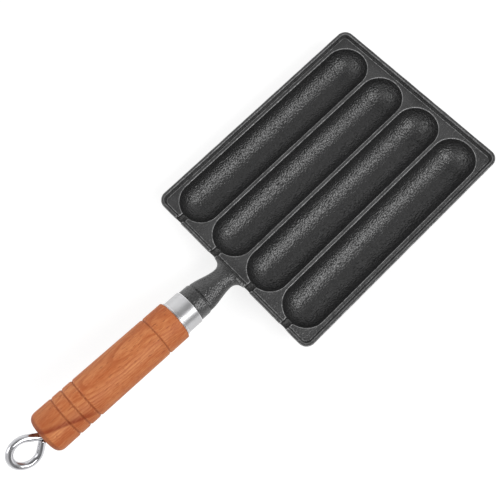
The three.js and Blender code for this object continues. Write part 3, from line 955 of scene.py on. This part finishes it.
def wood_look():
    """Lacquered wood: growth rings, fine fibres, short pores and one dark streak at the tail."""
    look = Look("lacquered_wood")
    place = look.place()
    bend = look.attribute("bend")
    bent = look.wander(place, place, DRIFT_SCALE, 2.0, DRIFT_REACH)
    wavy = look.wander(bent, place, RIPPLE_SCALE, 1.0, RIPPLE_REACH)

    down = Vector((-math.sin(HEART_TURN), 0, -math.cos(HEART_TURN)))
    middle = Vector((0, (HANDLE_START + HANDLE_END) / 2, 0))
    heart = (middle + down * HEART_DEPTH) * MM
    way = (Vector((0, 1, 0)) - down * HEART_RISE).normalized()
    off = look.vector("CROSS_PRODUCT", look.vector("SUBTRACT", bent, heart), way)
    age = look.math("DIVIDE", look.size("LENGTH", off), RING_WIDTH * MM)
    season = look.math("FRACT", age)
    late = look.product(look.span(season, *LATE_RISE), look.span(season, *LATE_FALL))
    strong = look.span(look.noise(place, RING_NOISE_SCALE), *RING_NOISE_SPAN, *RING_SHARES)
    fibre = look.noise(look.vector("MULTIPLY", wavy, FIBRE_SCALE), 1.0, 3.0, 0.6)
    flow = look.noise(look.vector("MULTIPLY", bent, FLOW_SCALE), 1.0, 3.0, 0.55)
    pores = look.noise(look.vector("MULTIPLY", wavy, PORE_SCALE), 1.0, 1.0, 0.5)
    tone = look.math("ADD", look.product(flow, FLOW_SHARE), look.product(fibre, FIBRE_SHARE))
    colour = look.blend(look.span(tone, *TONE_SPAN), WOOD_DARK, WOOD_LIGHT)
    colour = look.blend(look.product(late, strong), colour, WOOD_LATE)
    colour = look.blend(look.span(pores, *PORE_SPAN, 0.0, PORE_SHARE), colour, WOOD_PORE)

    off = look.vector("SUBTRACT", bent, Vector(STREAK_AT) * MM)
    side = look.size("DOT_PRODUCT", off, STREAK_NORMAL)
    parts = look.add("ShaderNodeSeparateXYZ", {0: place})
    x, y, z = (parts.outputs[i] for i in range(3))
    begin = look.span(y, (HANDLE_END - STREAK_LENGTH) * MM, (HANDLE_END - STREAK_LENGTH / 2) * MM)
    halo = look.span(side, -STREAK_HALO * MM, 0.0, 0.0, STREAK_HALO_SHARE)
    streak = look.product(
        look.math("MAXIMUM", look.span(side, -STREAK_FADE * MM, 0.0), halo),
        look.span(side, STREAK_WIDTH * MM, 0.0),
        begin,
        look.span(z, -STREAK_DEPTH * MM, 0.0, STREAK_LOW_SHARE, 1.0),
        look.span(fibre, *STREAK_FIBRE, *STREAK_FIBRE_SHARES),
    )
    colour = look.blend(streak, colour, WOOD_STREAK)

    radius = look.math("SQRT", look.math("ADD", look.product(x, x), look.product(z, z)))
    shallow = (HANDLE_RADIUS - GROOVE_DARK_START) * MM
    bottom = (HANDLE_RADIUS - GROOVE_DEPTH) * MM
    deep = look.span(radius, shallow, bottom, 0.0, GROOVE_DARK_SHARE)
    colour = look.blend(deep, colour, WOOD_GROOVE)
    rubbed = look.span(fibre, *WOOD_WEAR_FIBRE, 0.0, WOOD_WEAR_SHARE)
    wear = look.product(look.span(bend, *WOOD_WEAR_BEND), rubbed)
    colour = look.blend(wear, colour, WOOD_WORN)
    height = look.math("SUBTRACT", fibre, look.span(pores, *PORE_SPAN))
    look.put(look.shader, {
        "Base Color": colour,
        "Roughness": look.span(fibre, *NOISE_SPAN, *WOOD_ROUGH),
        "Normal": look.bump(height, WOOD_BUMP, WOOD_BUMP_STRENGTH),
        "Specular IOR Level": WOOD_SPECULAR,
    })
    return look.material


def ferrule_look():
    """Satin aluminium with fine turning lines, brighter where its edges are rubbed."""
    look = Look("satin_aluminium")
    place = look.place()
    bend = look.attribute("bend")
    turned = look.noise(look.vector("MULTIPLY", place, TURNED_SCALE), 1.0, 2.0, 0.6)
    haze = look.noise(place, ALUMINIUM_HAZE, 3.0, 0.6)
    colour = look.blend(haze, ALUMINIUM_DULL, ALUMINIUM_BRIGHT)
    colour = look.blend(look.span(bend, *ALUMINIUM_RUBBED_BEND), colour, ALUMINIUM_RUBBED)
    look.put(look.shader, {
        "Base Color": colour,
        "Metallic": 1.0,
        "Roughness": look.span(haze, *NOISE_SPAN, *ALUMINIUM_ROUGH),
        "Normal": look.bump(turned, ALUMINIUM_BUMP, ALUMINIUM_BUMP_STRENGTH),
        "Anisotropic": ALUMINIUM_ANISOTROPY,
        "Anisotropic Rotation": ALUMINIUM_QUARTER_TURN,
        "Tangent": look.add("ShaderNodeTangent", direction_type="RADIAL", axis="Y").outputs[0],
    })
    return look.material


def steel_look():
    """Bright plated wire with a faint haze and drawing marks along it."""
    look = Look("plated_steel")
    wire = look.add("ShaderNodeAttribute", attribute_name="wire").outputs["Vector"]
    drawn = look.noise(look.vector("MULTIPLY", wire, DRAWN_SCALE), 1.0, 2.0, 0.6)
    haze = look.noise(look.place(), STEEL_HAZE, 3.0, 0.6)
    colour = look.blend(look.span(drawn, *DRAWN_SPAN), STEEL_DULL, STEEL_BRIGHT)
    look.put(look.shader, {
        "Base Color": colour,
        "Metallic": 1.0,
        "Roughness": look.span(haze, *NOISE_SPAN, *STEEL_ROUGH),
        "Normal": look.bump(drawn, STEEL_BUMP),
    })
    return look.material


def dress(obj, material, body_name, node):
    """Gives a piece its material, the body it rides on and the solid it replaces."""
    obj.data.materials.append(material)
    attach(obj, body_name)
    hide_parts(node)


def add_camera():
    data = bpy.data.cameras.new("camera")
    data.sensor_width = CAMERA_SENSOR
    data.lens = CAMERA_LENS
    camera = bpy.data.objects.new("camera", data)
    axes = Matrix((CAMERA_RIGHT, CAMERA_UP, CAMERA_BACK)).transposed()
    camera.matrix_world = Matrix.Translation(CAMERA_PLACE) @ axes.to_4x4()
    bpy.context.scene.collection.objects.link(camera)
    bpy.context.scene.camera = camera


def add_softbox(name, direction, size, radiance):
    """A flat lamp that faces the aim, with the brightness of its face."""
    width, height = size
    data = bpy.data.lights.new(name, "AREA")
    data.shape = "RECTANGLE"
    data.size = width
    data.size_y = height
    data.energy = radiance * math.pi * width * height
    lamp = bpy.data.objects.new(name, data)
    way = Vector(direction).normalized()
    lamp.location = Vector(LAMP_AIM) + way * LAMP_DISTANCE
    lamp.rotation_euler = way.to_track_quat("Z", "Y").to_euler()
    bpy.context.scene.collection.objects.link(lamp)


def add_floor():
    """A wide pale disc just under the pan. It shows white to the eye and in gloss, and keeps shadows."""
    sheet = bmesh.new()
    bmesh.ops.create_circle(sheet, cap_ends=True, segments=FLOOR_SEGMENTS, radius=FLOOR_RADIUS)
    mesh = bpy.data.meshes.new("floor")
    sheet.to_mesh(mesh)
    sheet.free()
    floor = bpy.data.objects.new("floor", mesh)
    floor.location.z = -FLOOR_DROP
    bpy.context.scene.collection.objects.link(floor)
    look = Look("floor")
    nodes = look.tree.nodes
    nodes.remove(look.shader)
    path = look.add("ShaderNodeLightPath")
    seen = look.math("MAXIMUM", path.outputs["Is Camera Ray"], path.outputs["Is Glossy Ray"])
    seen = look.math("MAXIMUM", seen, path.outputs["Is Transmission Ray"])
    glow = look.add("ShaderNodeEmission", {"Color": grey(1.0)})
    look.put(glow, {"Strength": look.math("MULTIPLY", seen, FLOOR_GLOW)})
    paint = look.add("ShaderNodeBsdfDiffuse", {"Color": grey(FLOOR_TONE)})
    both = look.add("ShaderNodeAddShader", {0: glow.outputs[0], 1: paint.outputs[0]})
    look.put(nodes["Material Output"], {"Surface": both.outputs[0]})
    mesh.materials.append(look.material)


def add_world():
    """A plain room with a pale wall beyond +Y and duller walls at both ends."""
    world = bpy.data.worlds.new("studio")
    world.use_nodes = True
    bpy.context.scene.world = world
    tree = world.node_tree

    def ramp(value, start, end, low, high, shape="SMOOTHSTEP"):
        node = tree.nodes.new("ShaderNodeMapRange")
        node.interpolation_type = shape
        given = {"Value": value, "From Min": start, "From Max": end, "To Min": low, "To Max": high}
        for name, what in given.items():
            if isinstance(what, float):
                node.inputs[name].default_value = what
            else:
                tree.links.new(what, node.inputs[name])
        return node.outputs["Result"]

    place = tree.nodes.new("ShaderNodeTexCoord")
    parts = tree.nodes.new("ShaderNodeSeparateXYZ")
    tree.links.new(place.outputs["Generated"], parts.inputs[0])
    near_end = ramp(parts.outputs["X"], -END_START, -END_FULL, ROOM_LEVEL, NEAR_END_LEVEL)
    both_ends = ramp(parts.outputs["X"], END_START, END_FULL, near_end, FAR_END_LEVEL)
    wall = ramp(parts.outputs["Z"], *WALL_FADE, WALL_LEVEL, WALL_LEVEL / 2, "LINEAR")
    strength = ramp(parts.outputs["Y"], *WALL_EDGE, both_ends, wall)
    # the camera itself sees plain white beyond the floor
    seen = tree.nodes.new("ShaderNodeMath")
    seen.operation = "MAXIMUM"
    tree.links.new(strength, seen.inputs[0])
    tree.links.new(tree.nodes.new("ShaderNodeLightPath").outputs["Is Camera Ray"], seen.inputs[1])
    tree.links.new(seen.outputs[0], tree.nodes["Background"].inputs["Strength"])
    tree.nodes["Background"].inputs["Color"].default_value = grey(1.0)


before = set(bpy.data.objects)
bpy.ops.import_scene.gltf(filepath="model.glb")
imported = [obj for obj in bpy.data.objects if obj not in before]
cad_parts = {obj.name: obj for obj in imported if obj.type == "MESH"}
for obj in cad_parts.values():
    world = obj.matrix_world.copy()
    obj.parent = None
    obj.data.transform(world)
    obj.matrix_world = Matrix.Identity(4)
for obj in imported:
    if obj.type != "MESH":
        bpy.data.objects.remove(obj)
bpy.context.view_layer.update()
plate_shift = np.array([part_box("pan_casting")[1].x / MM - PLATE_LENGTH / 2, 0.0, 0.0])
handle_place = Matrix.Translation(Vector(AXIS_START + plate_shift) * MM) @ Matrix((
    (0, ALONG[0], ABOVE[0], 0),
    (1, ALONG[1], ABOVE[1], 0),
    (0, ALONG[2], ABOVE[2], 0),
    (0, 0, 0, 1),
))

dress(cast_body("cast_pan", plate_shift), iron_look(), "pan", "pan_casting")
sleeve = lathe("ferrule_sleeve", ferrule_profile(), handle_place)
dress(sleeve, ferrule_look(), "handle", "ferrule")
handle = lathe("turned_handle", handle_profile(), handle_place)
dress(handle, wood_look(), "handle", "wooden_handle")
eye_place = handle_place @ Matrix.Rotation(EYE_TURN, 4, "Y")
dress(eye_rod("hanging_eye", eye_place), steel_look(), "rod", "eye_rod")

add_camera()
add_floor()
add_world()
add_softbox("key", KEY_DIRECTION, KEY_SIZE, KEY_RADIANCE)
add_softbox("side", SIDE_DIRECTION, SIDE_SIZE, SIDE_RADIANCE)
bpy.context.scene.view_settings.view_transform = "Standard"
